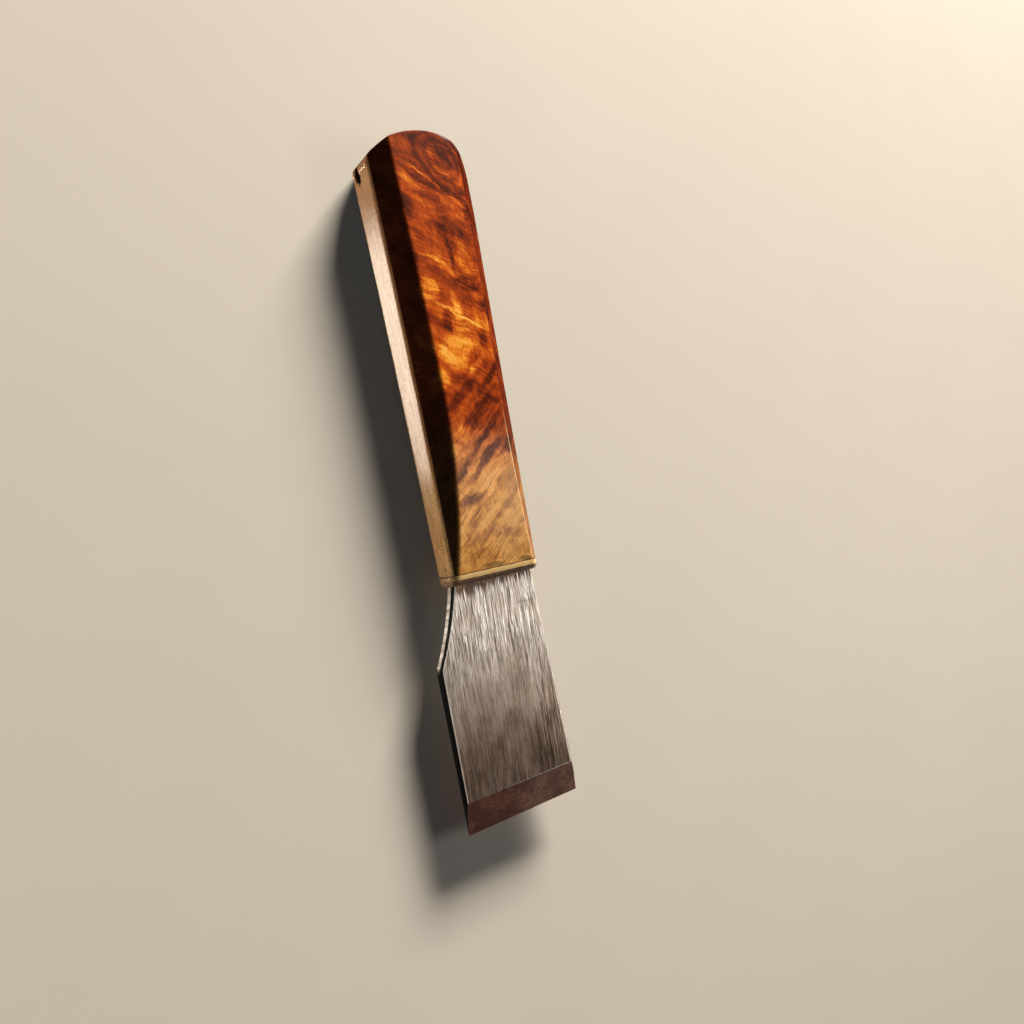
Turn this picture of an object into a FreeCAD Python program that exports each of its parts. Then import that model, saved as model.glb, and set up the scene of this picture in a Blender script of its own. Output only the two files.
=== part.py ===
"""Skiving knife: a wide single-bevel blade, a brass end plate and a faceted wooden handle.

Millimetres. The knife lies on the back facet of its handle, on z = 0, with the bevel
facing up. X runs from the butt to the cutting edge, and Y towards the straight side of
the blade. The blade and its hidden tang are one piece of steel.
"""

import FreeCAD, Part
import math
import os

V = FreeCAD.Vector

# Lengths along the knife
overall_length = 193.0
handle_length = 124.2          # wood only, from the top of the crowned butt
plate_thickness = 2.8
plate_land = 1.25              # straight edge of the plate, flush with the wood
neck_length = 21.3             # from the plate to the shoulder of the blade
bevel_length = 8.7
tang_length = 72.0
taper_length = 53.0            # stretch over which the handle thins towards the plate

# Handle section: a block with four 45 degree facets
butt_left = 16.7               # from the handle's axis to its left side, at the butt
butt_right = 17.9              # the straight side flares a little more
end_width = 29.6
handle_thickness = 20.0
end_thickness = 10.1
butt_crown_radius = 28.0
butt_crown_offset = 1.5        # the crown is highest a little to the straight side
butt_corner_left = 4.0
butt_corner_right = 9.0         # the straight side runs round into the crown
# Half width plus half thickness at which a facet cuts the section
left_facet_sum_end = 18.3
left_facet_sum_butt = 21.2
right_facet_sum_end = 17.1
right_facet_sum_butt = 21.0

# End plate
plate_top_thickness = 4.2      # where the plate's rounded face meets the blade
plate_top_width = 28.4

# Blade
blade_width = 36.0             # at the shoulder
blade_flare = 1.3              # extra width at the cutting edge, on the straight side
neck_left = 14.2               # from the handle's axis to the neck's left side
shoulder_left = 22.65          # from the handle's axis to the blade's left side
neck_hollow = 0.72             # depth of the concave curve between neck and shoulder
shoulder_radius = 0.8
neck_thickness = 2.9
heel_thickness = 1.8           # where the bevel starts
neck_face_height = 1.95        # the bevel side's face above the handle's axis
heel_face_height = 1.1
edge_chamfer = 0.62            # along both long edges of the bevel side's face

# Tang and its bed
tang_root_width = 14.0
tang_tip_width = 8.5
tang_thickness = 2.4
tang_root_radius = 1.2
slot_gap = 0.1                 # between the tang and the plate's slot
mortise_width = 15.4
mortise_tip_width = 10.6
mortise_thickness = 3.8
mortise_extra_depth = 3.0

# Stations along X
butt_x = -overall_length / 2
joint_x = butt_x + handle_length
plate_x = joint_x + plate_thickness
land_x = joint_x + plate_land
shoulder_x = plate_x + neck_length
edge_x = overall_length / 2
heel_x = edge_x - bevel_length
taper_x = joint_x - taper_length

# The handle's axis, placed so that the whole knife is centred on the origin
axis_y = (shoulder_left - butt_right) / 2
axis_z = handle_thickness / 2
tang_z = axis_z + neck_face_height - neck_thickness / 2
far = 60.0                     # larger than any section


def line(a, b):
    return Part.LineSegment(a, b).toShape()


def arc(a, middle, b):
    return Part.Arc(a, middle, b).toShape()


def prism(edges, direction):
    return Part.Face(Part.Wire(Part.__sortEdges__(edges))).extrude(direction)


def polygon_prism(points, direction):
    closed = points + [points[0]]
    return Part.Face(Part.makePolygon(closed)).extrude(direction)


def side_half_width(x, at_butt):
    """From the axis to a side: parallel at the plate and flaring gently to the butt."""
    share = (plate_x - x) / (plate_x - butt_x)
    return end_width / 2 + (at_butt - end_width / 2) * share ** 2


def crown_x(y):
    """Where the crowned butt lies, y being measured from the handle's axis."""
    reach = y - butt_crown_offset
    return butt_x + butt_crown_radius - math.sqrt(butt_crown_radius ** 2 - reach ** 2)


def handle_plan():
    """The handle seen from above: flaring sides and a crowned butt with round corners."""
    z = -far
    corners = {}
    sides = []
    for sign, at_butt in ((-1, butt_left), (1, butt_right)):
        y_butt = sign * at_butt
        corner = V(crown_x(y_butt), axis_y + y_butt, z)
        middle_x = (corner.x + plate_x) / 2
        middle = V(middle_x, axis_y + sign * side_half_width(middle_x, at_butt), z)
        end = V(plate_x, axis_y + sign * end_width / 2, z)
        sides.append(arc(corner, middle, end))
        corners[sign] = (corner, end)
    apex = V(butt_x, axis_y + butt_crown_offset, z)
    crown = arc(corners[-1][0], apex, corners[1][0])
    end_line = line(corners[-1][1], corners[1][1])
    block = prism(sides + [crown, end_line], V(0, 0, 2 * far))
    for sign, radius in ((-1, butt_corner_left), (1, butt_corner_right)):
        upright = [e for e in block.Edges if abs(e.tangentAt(e.FirstParameter).z) > 0.99]
        at_butt = [e for e in upright if e.CenterOfMass.x < 0]
        corner = [e for e in at_butt if sign * (e.CenterOfMass.y - axis_y) > 0]
        block = block.makeFillet(radius, corner)
    return block


def handle_profile():
    """The handle seen from the side: flat faces that curve in over the last stretch."""
    drop = (handle_thickness - end_thickness) / 2
    radius = (taper_length ** 2 + drop ** 2) / (2 * drop)

    def dip(x):
        return radius - math.sqrt(radius ** 2 - (x - taper_x) ** 2)

    y = axis_y - far
    middle_x = (taper_x + plate_x) / 2
    edges = []
    ends = []
    for sign in (-1, 1):
        def at(x, inwards):
            return V(x, y, axis_z + sign * (handle_thickness / 2 - inwards))
        butt = at(butt_x - 1, 0)
        start = at(taper_x, 0)
        end = at(plate_x, dip(plate_x))
        edges.append(line(butt, start))
        edges.append(arc(start, at(middle_x, dip(middle_x)), end))
        ends.append((butt, end))
    edges.append(line(ends[0][0], ends[1][0]))
    edges.append(line(ends[0][1], ends[1][1]))
    return prism(edges, V(0, 2 * far, 0))


def facet_cage():
    """Four planes at 45 degrees that plane the long corners off the block."""
    length = joint_x - butt_x
    left_slope = (left_facet_sum_butt - left_facet_sum_end) / length
    right_slope = (right_facet_sum_butt - right_facet_sum_end) / length
    rings = []
    for x in (butt_x - 2, plate_x + 2):
        left = left_facet_sum_end + left_slope * (joint_x - x)
        right = right_facet_sum_end + right_slope * (joint_x - x)
        top_y = axis_y + (right - left) / 2
        half_height = (right + left) / 2
        corners = [V(x, axis_y - left, axis_z), V(x, top_y, axis_z + half_height),
                   V(x, axis_y + right, axis_z), V(x, top_y, axis_z - half_height)]
        rings.append(Part.makePolygon(corners + [corners[0]]))
    return Part.makeLoft(rings, True, True)


def outer_form():
    """Wood and plate are shaped together, so both are cut from this one form."""
    return handle_plan().common(handle_profile()).common(facet_cage())


def slab(x_from, x_to):
    return Part.makeBox(x_to - x_from, 2 * far, 2 * far, V(x_from, axis_y - far, axis_z - far))


def mortise():
    """Blind tapered pocket in the wood for the tang and its epoxy."""
    depth = tang_length - plate_thickness + mortise_extra_depth
    centre_y = axis_y + tang_offset()
    z = tang_z - mortise_thickness / 2
    half = mortise_width / 2
    tip = mortise_tip_width / 2
    return polygon_prism([V(joint_x, centre_y - half, z), V(joint_x, centre_y + half, z),
                          V(joint_x - depth, centre_y + tip, z),
                          V(joint_x - depth, centre_y - tip, z)],
                         V(0, 0, mortise_thickness))


def handle():
    return outer_form().common(slab(butt_x - 1, joint_x)).cut(mortise())


def plate_rounding():
    """The plate's blade side is rounded down from its land to the blade's neck."""
    def half_at(start, end, share):
        return end + (start - end) * math.sqrt(1 - share ** 2)

    def section(start, end, point, direction):
        edges = []
        lows = []
        tops = []
        for sign in (-1, 1):
            low = point(joint_x - 1, sign * start)
            land = point(land_x, sign * start)
            middle = point((land_x + plate_x) / 2, sign * half_at(start, end, 0.5))
            top = point(plate_x, sign * end)
            edges += [line(low, land), arc(land, middle, top)]
            lows.append(low)
            tops.append(top)
        edges += [line(*lows), line(*tops)]
        return prism(edges, direction)

    from_side = section(end_thickness / 2, plate_top_thickness / 2,
                        lambda x, z: V(x, axis_y - far, axis_z + z), V(0, 2 * far, 0))
    from_above = section(end_width / 2 + 0.1, plate_top_width / 2,
                         lambda x, y: V(x, axis_y + y, axis_z - far), V(0, 0, 2 * far))
    return from_side.common(from_above)


def tang_slot():
    height = tang_thickness + 2 * slot_gap
    width = tang_root_width + 2 * (tang_root_radius + slot_gap)
    return Part.makeBox(plate_thickness + 2, width, height,
                        V(joint_x - 1, axis_y + tang_offset() - width / 2, tang_z - height / 2))


def end_plate():
    return outer_form().common(slab(joint_x, plate_x)).common(plate_rounding()).cut(tang_slot())


def right_side(x):
    """The blade's straight side, measured from the handle's axis."""
    share = (x - shoulder_x) / (edge_x - shoulder_x)
    return blade_width - shoulder_left + blade_flare * share


def tang_offset():
    """The tang is centred on the blade's neck."""
    return (right_side(plate_x) - neck_left) / 2


def blade_outline():
    z = axis_z - far
    neck = V(plate_x, axis_y - neck_left, z)
    shoulder = V(shoulder_x, axis_y - shoulder_left, z)
    chord = shoulder - neck
    inwards = V(-chord.y, chord.x, 0).normalize() * neck_hollow
    curve = arc(neck, (neck + shoulder) * 0.5 + inwards, shoulder)
    tip_left = V(edge_x, shoulder.y, z)
    tip_right = V(edge_x, axis_y + right_side(edge_x), z)
    neck_right = V(plate_x, axis_y + right_side(plate_x), z)
    block = prism([curve, line(shoulder, tip_left), line(tip_left, tip_right),
                   line(tip_right, neck_right), line(neck_right, neck)], V(0, 0, 2 * far))
    at_shoulder = [e for e in block.Edges
                   if e.Length > far and abs(e.CenterOfMass.x - shoulder_x) < 0.01]
    return block.makeFillet(shoulder_radius, at_shoulder)


def blade_section():
    """Distal taper, a flat back, and one bevel that runs down to the back's plane."""
    y = axis_y - far
    neck_face = axis_z + neck_face_height
    heel_face = axis_z + heel_face_height
    neck_back = neck_face - neck_thickness
    heel_back = heel_face - heel_thickness
    slope = (heel_back - neck_back) / (heel_x - plate_x)
    return polygon_prism([V(plate_x, y, neck_back),
                          V(edge_x, y, heel_back + slope * bevel_length),
                          V(heel_x, y, heel_face), V(plate_x, y, neck_face)],
                         V(0, 2 * far, 0))


def long_front_edges(body):
    """The edges of the bevel side's main face, without its two ends."""
    face = max((f for f in body.Faces if f.normalAt(0, 0).z > 0.9), key=lambda f: f.Area)
    return [e for e in face.Edges
            if plate_x + 0.1 < e.CenterOfMass.x < heel_x - 0.1]


def tang():
    """Flat tapered tang with rounded roots where it leaves the blade's neck."""
    centre_y = axis_y + tang_offset()
    z = tang_z - tang_thickness / 2
    tip_x = plate_x - tang_length
    root = tang_root_width / 2
    tip = tang_tip_width / 2
    bar = polygon_prism([V(plate_x + 1, centre_y - root, z), V(plate_x + 1, centre_y + root, z),
                         V(tip_x, centre_y + tip, z), V(tip_x, centre_y - tip, z)],
                        V(0, 0, tang_thickness))
    size = 2 * (root + tang_root_radius)
    web = Part.makeBox(tang_root_radius, size, tang_thickness,
                       V(plate_x - tang_root_radius, centre_y - size / 2, z))
    for sign in (-1, 1):
        hollow = Part.makeCylinder(tang_root_radius, tang_thickness,
                                   V(plate_x - tang_root_radius,
                                     centre_y + sign * (root + tang_root_radius), z))
        web = web.cut(hollow)
    return bar.fuse(web)


def blade():
    body = blade_outline().common(blade_section())
    body = body.makeChamfer(edge_chamfer, long_front_edges(body))
    return body.fuse(tang()).removeSplitter()


def epoxy_bed():
    """Cured epoxy that fills the mortise around the tang."""
    return mortise().cut(tang())


def export(name, shape):
    solids = shape.Solids
    if len(solids) != 1 or not solids[0].isValid():
        raise ValueError(name + " is not one valid solid")
    solids[0].exportStep(os.path.join("parts", name + ".step"))


os.makedirs("parts", exist_ok=True)
export("blade", blade())
export("handle", handle())
export("end_plate", end_plate())
export("epoxy_bed", epoxy_bed())
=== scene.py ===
"""The skiving knife's looks: figured wood, ground steel and a brass end plate.

Every length is in millimetres until a mesh is made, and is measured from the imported
frame or named here. The knife lies on the back facet of its handle, X runs to the
cutting edge, and the handle's axis is the line that its sections are drawn around.
"""

import math

import bmesh
import bpy
import numpy as np
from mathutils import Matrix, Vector, noise


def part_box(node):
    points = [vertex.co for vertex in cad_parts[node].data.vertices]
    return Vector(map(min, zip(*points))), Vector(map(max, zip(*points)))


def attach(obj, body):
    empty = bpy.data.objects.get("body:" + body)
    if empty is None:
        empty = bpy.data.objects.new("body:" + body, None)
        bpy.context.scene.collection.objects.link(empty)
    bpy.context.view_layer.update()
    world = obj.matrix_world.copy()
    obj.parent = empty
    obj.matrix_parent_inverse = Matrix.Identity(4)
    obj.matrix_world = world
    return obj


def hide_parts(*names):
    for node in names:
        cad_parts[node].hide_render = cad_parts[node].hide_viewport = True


MM = 0.001
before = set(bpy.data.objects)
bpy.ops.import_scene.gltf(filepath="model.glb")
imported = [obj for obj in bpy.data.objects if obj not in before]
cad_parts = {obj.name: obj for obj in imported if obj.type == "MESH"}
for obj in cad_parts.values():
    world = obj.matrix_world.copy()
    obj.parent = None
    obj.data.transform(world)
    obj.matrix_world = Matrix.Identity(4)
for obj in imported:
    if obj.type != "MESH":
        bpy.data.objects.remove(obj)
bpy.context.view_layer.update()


def box_mm(node):
    """The lowest and highest corner of a CAD node, in millimetres."""
    low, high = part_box(node)
    return np.array(low) / MM, np.array(high) / MM


handle_low, handle_high = box_mm("handle")
plate_low, plate_high = box_mm("end_plate")
blade_low, blade_high = box_mm("blade")

# Stations along the knife
butt_x = handle_low[0]
joint_x = handle_high[0]
plate_x = plate_high[0]
edge_x = blade_high[0]
land_x = joint_x + 1.25          # where the plate starts to round over
heel_x = edge_x - 8.7            # where the bevel starts
shoulder_x = plate_x + 21.3
taper_x = joint_x - 53.0         # where the handle starts to thin

# The handle's axis and section
axis_y = (plate_low[1] + plate_high[1]) / 2
axis_z = (handle_low[2] + handle_high[2]) / 2
half_thick = (handle_high[2] - handle_low[2]) / 2
half_thick_end = 5.05
taper_drop = half_thick - half_thick_end
taper_radius = ((joint_x - taper_x) ** 2 + taper_drop ** 2) / (2 * taper_drop)
left_butt = 16.7
right_butt = 17.9
half_wide_end = 14.8
flare = (left_butt - half_wide_end) / (plate_x - butt_x) ** 2
# Half width plus half height where the facets cut the section, at the plate and the butt
facet_end = {"left": 18.3, "right": 17.1}
facet_butt = {"left": 21.2, "right": 21.0}
crown_radius = 28.0
crown_offset = 1.5
corner_left = 4.0
corner_right = 9.0
# Edge radii: along the facets, by the right corner of the butt, and at the joint
facet_edge_radius = 0.3
corner_edge_radius = 2.6
end_edge_radius = 0.07

# The end plate and the mortise
plate_top_half_thick = 2.1
plate_top_half_wide = 14.2
plate_edge_radius = 0.1
mortise = {"centre": 0.0, "lift": 0.5, "mouth": 7.7, "tip": 5.3, "half_height": 1.9,
           "depth": 72.2}

# The blade, measured from the handle's axis
neck_left = 14.2
shoulder_left = axis_y - blade_low[1] - 0.002
neck_right = 13.03
edge_right = blade_high[1] - axis_y
neck_hollow = 0.72
neck_face, neck_back = 1.95, -0.95
heel_face, heel_back = 1.1, -0.7
blade_chamfer = 0.62
back_ease = 0.12
edge_glint_width = 0.35                 # strip inside each long edge of the upper face, for a painted highlight
shoulder_round = 0.8
scribe_x = plate_x + 8.6
# Points of a blade section: each side, the upper face, the back
side_points, face_points, back_points = 2, 19, 9
tang = {"length": 72.0, "root": 7.0, "tip": 4.25, "half_height": 1.2, "fillet": 1.2,
        "gap": 0.1}
mortise["centre"] = (neck_right - neck_left) / 2


# ---------------------------------------------------------------- shapes of the handle

def half_width(x, at_butt=left_butt):
    """From the axis to the left side, or to the right one with its width at the butt."""
    share = np.clip((plate_x - x) / (plate_x - butt_x), 0, 1.1)
    return half_wide_end + (at_butt - half_wide_end) * share ** 2


def half_height(x):
    """Flat over the rear, then an arc that thins the handle towards the plate."""
    along = np.clip(x - taper_x, 0, taper_radius)
    return half_thick - (taper_radius - np.sqrt(taper_radius ** 2 - along ** 2))


def facet_sums(x):
    """Half width plus half height where the left and the right facets cut the section."""
    share = (joint_x - x) / (joint_x - butt_x)
    return [facet_end[k] + (facet_butt[k] - facet_end[k]) * share for k in ("left", "right")]


def crown_distance(x, y):
    """Distance outside the cylinder that crowns the butt."""
    centre_x = butt_x + crown_radius
    away = np.hypot(np.minimum(x - centre_x, 0), y - crown_offset)
    return away - crown_radius


def plan_distance(x, y):
    """Distance to the outline seen from above: two sides, a crown and round corners."""
    centre_x = butt_x + crown_radius
    offset = np.where(y < 0, -crown_offset, crown_offset)
    at_butt = np.where(y < 0, left_butt, right_butt)
    corner = np.where(y < 0, corner_left, corner_right)
    corner_y = half_width(butt_x + corner, at_butt) - corner
    reach = crown_radius - corner
    corner_x = centre_x - np.sqrt(reach ** 2 - (corner_y - offset) ** 2)
    vx = x - corner_x
    vy = np.abs(y) - corner_y
    lean = (corner_x - centre_x) * vy - (corner_y - offset) * vx
    sharp = np.maximum(np.abs(y) - half_width(x, at_butt), crown_distance(x, y))
    return np.where((vx < 0) & (lean < 0), np.hypot(vx, vy) - corner, sharp)


def rounded(distances, radius):
    """Distance to where several surfaces meet, with their edges rounded to that radius."""
    stack = np.stack(distances)
    over = np.sqrt((np.maximum(stack + radius, 0) ** 2).sum(0)) - radius
    inside = np.minimum(stack.max(0), 0)
    return np.where(over > -radius, over, inside)


def form_distance(p):
    """Signed distance to the outside that the wood and the plate share."""
    x, y, z = p[:, 0], p[:, 1], p[:, 2]
    left, right = facet_sums(x)
    root = math.sqrt(2)
    faces = [plan_distance(x, y), np.abs(z) - half_height(x), (np.abs(z) + y - right) / root,
             (np.abs(z) - y - left) / root]
    near_corner = np.clip((butt_x + 20 - x) / 18, 0, 1) * np.clip((y - 4) / 8, 0, 1)
    widening = (corner_edge_radius - facet_edge_radius) * near_corner
    return rounded(faces, facet_edge_radius + widening)


def settle(points, distance, steps=14):
    """Moves points onto the surface where the distance is 0."""
    step = 1e-4
    p = points.copy()
    for _ in range(steps):
        value = distance(p)
        slope = np.stack([(distance(p + step * axis) - value) / step
                          for axis in np.eye(3)], axis=1)
        size = np.maximum((slope ** 2).sum(1), 1e-9)
        p -= (value / size)[:, None] * slope
    return p


def octagon(x):
    """The eight corners of the section at x, from the right side round by the top."""
    w = half_width(x)
    r = half_width(x, right_butt)
    h = half_height(x)
    left, right = facet_sums(x)
    return [(r, r - right), (r, right - r), (right - h, h), (h - left, h),
            (-w, left - w), (-w, w - left), (h - left, -h), (right - h, -h)]


def ring_shares(count=15, close=(0.0, 0.12, 0.3, 0.55, 0.9)):
    """Points along one facet: a few close to each corner, in mm, and the rest even."""
    near = [(0, c) for c in close]
    even = [((i + 1) / (count + 1), None) for i in range(count)]
    far = [(1, c) for c in reversed(close[1:])]
    return near + even + far


def section_ring(x):
    """Sharp section outline at one station x per point, as rows of y and z."""
    corners = octagon(x)
    points = []
    margin = 1.3
    for i, a in enumerate(corners):
        b = corners[(i + 1) % 8]
        a, b = np.array(a), np.array(b)
        length = np.hypot(*(b - a))
        for share, offset in ring_shares():
            if offset is None:
                t = (margin + share * (length - 2 * margin)) / length
            elif share == 0:
                t = offset / length
            else:
                t = 1 - offset / length
            points.append(a + (b - a) * t)
    return np.array(points)


def crown_edge(y):
    """Station of the crowned butt at y, the crown being clipped before it turns back."""
    reach = np.clip(np.abs(y - crown_offset), 0, crown_radius * 0.99)
    return butt_x + crown_radius - np.sqrt(crown_radius ** 2 - reach ** 2)


def ring_at(offset):
    """A ring of the handle's outside: offset mm from the butt's rim, following its curve."""
    x = butt_x + offset
    ring = section_ring(x)
    fade = max(0.0, 1 - offset / 30)
    lift = (crown_edge(ring[:, 0]) - butt_x) * fade
    return np.column_stack([x + lift, ring])


def mortise_ring(x, half_wide, half_high, ring):
    """Where rays from the mortise's centre through a ring's points meet its walls."""
    y = ring[:, 1] - mortise["centre"]
    z = ring[:, 2] - mortise["lift"]
    reach = np.minimum(half_wide / np.maximum(np.abs(y), 1e-6),
                       half_high / np.maximum(np.abs(z), 1e-6))
    return np.column_stack([np.full(len(y), x), mortise["centre"] + y * reach,
                            mortise["lift"] + z * reach])


# ---------------------------------------------------------------- meshes

def object_from(name, points, faces):
    """A mesh object in metres from points around the handle's axis, in millimetres."""
    mesh = bpy.data.meshes.new(name)
    placed = (np.asarray(points) + np.array([0, axis_y, axis_z])) * MM
    mesh.from_pydata(placed.tolist(), [], faces)
    mesh.update()
    made = bpy.data.objects.new(name, mesh)
    bpy.context.scene.collection.objects.link(made)
    for polygon in mesh.polygons:
        polygon.use_smooth = True
    return made


def ring_faces(count, size, closed=False):
    """Quads between rings of the same size; closed joins the last ring to the first."""
    faces = []
    for i in range(count if closed else count - 1):
        a = i * size
        b = (i + 1) % count * size
        for k in range(size):
            n = (k + 1) % size
            faces.append((a + k, a + n, b + n, b + k))
    return faces


def fan(centre, start, size, flip):
    """Triangles from a middle point to a ring."""
    faces = []
    for k in range(size):
        n = (k + 1) % size
        faces.append((centre, start + n, start + k) if flip else (centre, start + k, start + n))
    return faces


def butt_rings():
    """Rings over the crowned butt, from its middle out to the rim."""
    rim = ring_at(0.0)
    shares = [0.12, 0.25, 0.38, 0.5, 0.62, 0.73, 0.83]
    insets = [1.4, 0.9, 0.6, 0.4, 0.25, 0.12]
    reach = np.hypot(rim[:, 1], rim[:, 2])
    rings = []
    for t in shares + [None] * len(insets):
        if t is None:
            scale = 1 - insets[len(rings) - len(shares)] / reach
        else:
            scale = np.full(len(rim), t)
        y = rim[:, 1] * scale
        rings.append(np.column_stack([crown_edge(y), y, rim[:, 2] * scale]))
    return rings


def handle_piece():
    """The wooden handle as one closed skin, with its mortise and a bark pocket."""
    offsets = [0, 0.12, 0.25, 0.4, 0.6, 0.9, 1.3, 1.8, 2.4, 3.1, 4]
    length = joint_x - butt_x
    offsets += list(np.linspace(5, length - 1.5, 76))
    offsets += [length - 1, length - 0.6, length - 0.3, length - 0.12, length]
    outside = butt_rings() + [ring_at(o) for o in offsets]
    size = len(outside[0])
    skin = np.vstack(outside)

    def distance(p):
        return rounded([form_distance(p), p[:, 0] - joint_x], end_edge_radius)

    skin = settle(skin, distance)
    rim = skin[-size:]
    high = mortise["half_height"]
    mouth = mortise_ring(joint_x, mortise["mouth"], high, rim)
    bottom = mortise_ring(joint_x - mortise["depth"], mortise["tip"], high, rim)
    apex = [crown_edge(0.0), 0, 0]
    floor = [joint_x - mortise["depth"], mortise["centre"], mortise["lift"]]
    points = np.vstack([skin, mouth, bottom, [apex], [floor]])
    count = len(outside) + 2
    faces = ring_faces(count, size)
    faces += fan(count * size, 0, size, True)
    faces += fan(count * size + 1, (count - 1) * size, size, False)
    made = object_from("handle_wood", points, faces)
    carve_bark_pocket(made)
    return made


def carve_bark_pocket(made):
    """An irregular bark void in the left facet, close to the butt."""
    centre = Vector((butt_x + 9.0, axis_y - left_butt, axis_z - 2.0)) * MM
    half_length = 3.0 * MM
    half_wide = 1.35 * MM
    depth = 1.6 * MM
    mesh = bmesh.new()
    mesh.from_mesh(made.data)
    near = [f for f in mesh.faces
            if (f.calc_center_median() - centre).length < 4.6 * MM and f.normal.y < -0.3]
    edges = list({e for f in near for e in f.edges})
    bmesh.ops.subdivide_edges(mesh, edges=edges, cuts=3, use_grid_fill=True)
    layer = mesh.verts.layers.float.new("bark")
    for vertex in mesh.verts:
        offset = vertex.co - centre
        if offset.length > 5.5 * MM or abs(offset.y) > 2.2 * MM:
            continue
        lean = offset.z - 0.28 * offset.x
        ragged = noise.noise(vertex.co * 900) * 0.35 + noise.noise(vertex.co * 2500) * 0.15
        reach = math.hypot(offset.x / half_length, lean / half_wide) + ragged
        sunk = min(max((1.12 - reach) / 0.34, 0), 1)
        sunk = sunk * sunk * (3 - 2 * sunk)
        vertex[layer] = sunk
        vertex.co.y += depth * sunk * (0.8 + 0.4 * noise.noise(vertex.co * 1800))
    mesh.to_mesh(made.data)
    mesh.free()


def plate_piece():
    """The brass plate: flush land, rounded blade side, and a slot for the tang."""
    stations = [joint_x, joint_x + 0.06, joint_x + 0.15, joint_x + 0.5, land_x]
    stations += list(land_x + (plate_x - land_x) * np.sin(np.linspace(0.15, math.pi / 2, 9)))
    rings = [np.column_stack([np.full(len(section_ring(x)), x), section_ring(x)])
             for x in stations]
    size = len(rings[0])
    skin = np.vstack(rings)
    rise = plate_x - land_x

    def ellipse(start, end, x):
        share = np.clip((x - land_x) / rise, 0, 0.999)
        return end + (start - end) * np.sqrt(1 - share ** 2)

    x = skin[:, 0]
    thin = ellipse(half_thick_end, plate_top_half_thick, x) / half_thick_end
    narrow = ellipse(half_wide_end, plate_top_half_wide, x) / half_wide_end
    skin[:, 1] *= narrow
    skin[:, 2] *= thin

    def distance(p):
        return rounded([form_distance(p), joint_x - p[:, 0]], plate_edge_radius)

    flush = x <= land_x
    skin[flush] = settle(skin[flush], distance)
    slot_wide = tang["root"] + tang["fillet"] + tang["gap"]
    slot_high = tang["half_height"] + tang["gap"]
    front = mortise_ring(plate_x, slot_wide, slot_high, skin[-size:])
    back = mortise_ring(joint_x, slot_wide, slot_high, skin[:size])
    points = np.vstack([skin, front, back])
    faces = ring_faces(len(stations) + 2, size, closed=True)
    return object_from("plate_brass", points, faces)


# ---------------------------------------------------------------- the blade

def left_side(x):
    """The blade's left outline: a hollow neck, a shoulder corner and a straight side."""
    span = math.hypot(shoulder_x - plate_x, shoulder_left - neck_left)
    radius = (span ** 2 / 4 + neck_hollow ** 2) / (2 * neck_hollow)
    lean = math.atan2(shoulder_left - neck_left, shoulder_x - plate_x)
    middle = np.array([(plate_x + shoulder_x) / 2, -(neck_left + shoulder_left) / 2])
    outwards = np.array([-math.sin(lean), -math.cos(lean)])
    centre = middle + outwards * (radius - neck_hollow)
    arc = centre[1] + np.sqrt(np.maximum(radius ** 2 - (x - centre[0]) ** 2, 0))
    return np.where(x < shoulder_x, arc, -shoulder_left)


def right_side(x):
    """The blade's right outline, straight from the plate to the cutting edge."""
    share = (x - plate_x) / (edge_x - plate_x)
    return neck_right + (edge_right - neck_right) * share


def blade_face(x):
    """Height of the ground upper face, before the bevel."""
    return neck_face + (heel_face - neck_face) * (x - plate_x) / (heel_x - plate_x)


def blade_back(x):
    """Height of the flat back."""
    return neck_back + (heel_back - neck_back) * (x - plate_x) / (heel_x - plate_x)


def bevel_top(x):
    """Height of the upper side: the ground face, then the bevel down to the flat back."""
    share = np.clip((x - heel_x) / (edge_x - heel_x), 0, 1)
    bevel = heel_face + (blade_back(edge_x) - heel_face) * share
    return np.where(x < heel_x, blade_face(x), bevel)


def softened_left(x):
    """The left outline with its shoulder corner rounded."""
    reach = shoulder_round
    offsets = np.linspace(-reach, reach, 9)
    return np.mean([left_side(x + o) for o in offsets], axis=0)


def blade_section(x):
    """One section of the blade: back, left side, chamfer, upper face, right side."""
    top = bevel_top(x)
    back = blade_back(x)
    third = (top - back) / 3
    cut = max(min(third, 0.1), blade_chamfer - (blade_face(x) - top))
    side_top = min(blade_face(x) - blade_chamfer, top - third)
    left = softened_left(x)
    right = right_side(x)
    ease = min(back_ease, third)
    inner = np.linspace(left + cut + edge_glint_width, right - cut - edge_glint_width, face_points - 2)
    across = [left + cut, *inner, right - cut]
    backs = np.linspace(right - ease, left + ease, back_points)
    lower = [(left, back + ease), (left, side_top)]
    upper = [(y, top) for y in across]
    right_low = [(right, side_top), (right, back + ease)]
    rear = [(y, back) for y in backs]
    ring = lower + upper + right_low + rear
    return np.array([(x, y, z) for y, z in ring])


def tang_section(x, half_wide):
    """The hidden tang's section, with its points in the same order as the blade's."""
    across = np.linspace(-half_wide, half_wide, face_points)
    backs = np.linspace(half_wide, -half_wide, back_points)
    high = tang["half_height"]
    ring = [(-half_wide, -high * 0.5), (-half_wide, high * 0.5)] + [(y, high) for y in across]
    ring += [(half_wide, high * 0.5), (half_wide, -high * 0.5)] + [(y, -high) for y in backs]
    return np.array([(x, mortise["centre"] + y, mortise["lift"] + z) for y, z in ring])


def tang_rings():
    """From the tang's tip to its root, which spreads into the blade in a fillet."""
    tip_x = joint_x - tang["length"] + (plate_x - joint_x)
    fillet = tang["fillet"]
    rings = [tang_section(tip_x, tang["tip"] - 0.4), tang_section(tip_x + 0.4, tang["tip"])]
    for turn in np.radians([0, 22.5, 45, 67.5, 90]):
        x = plate_x - fillet + fillet * math.sin(turn)
        rings.append(tang_section(x, tang["root"] + fillet * (1 - math.cos(turn))))
    return rings


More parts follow.
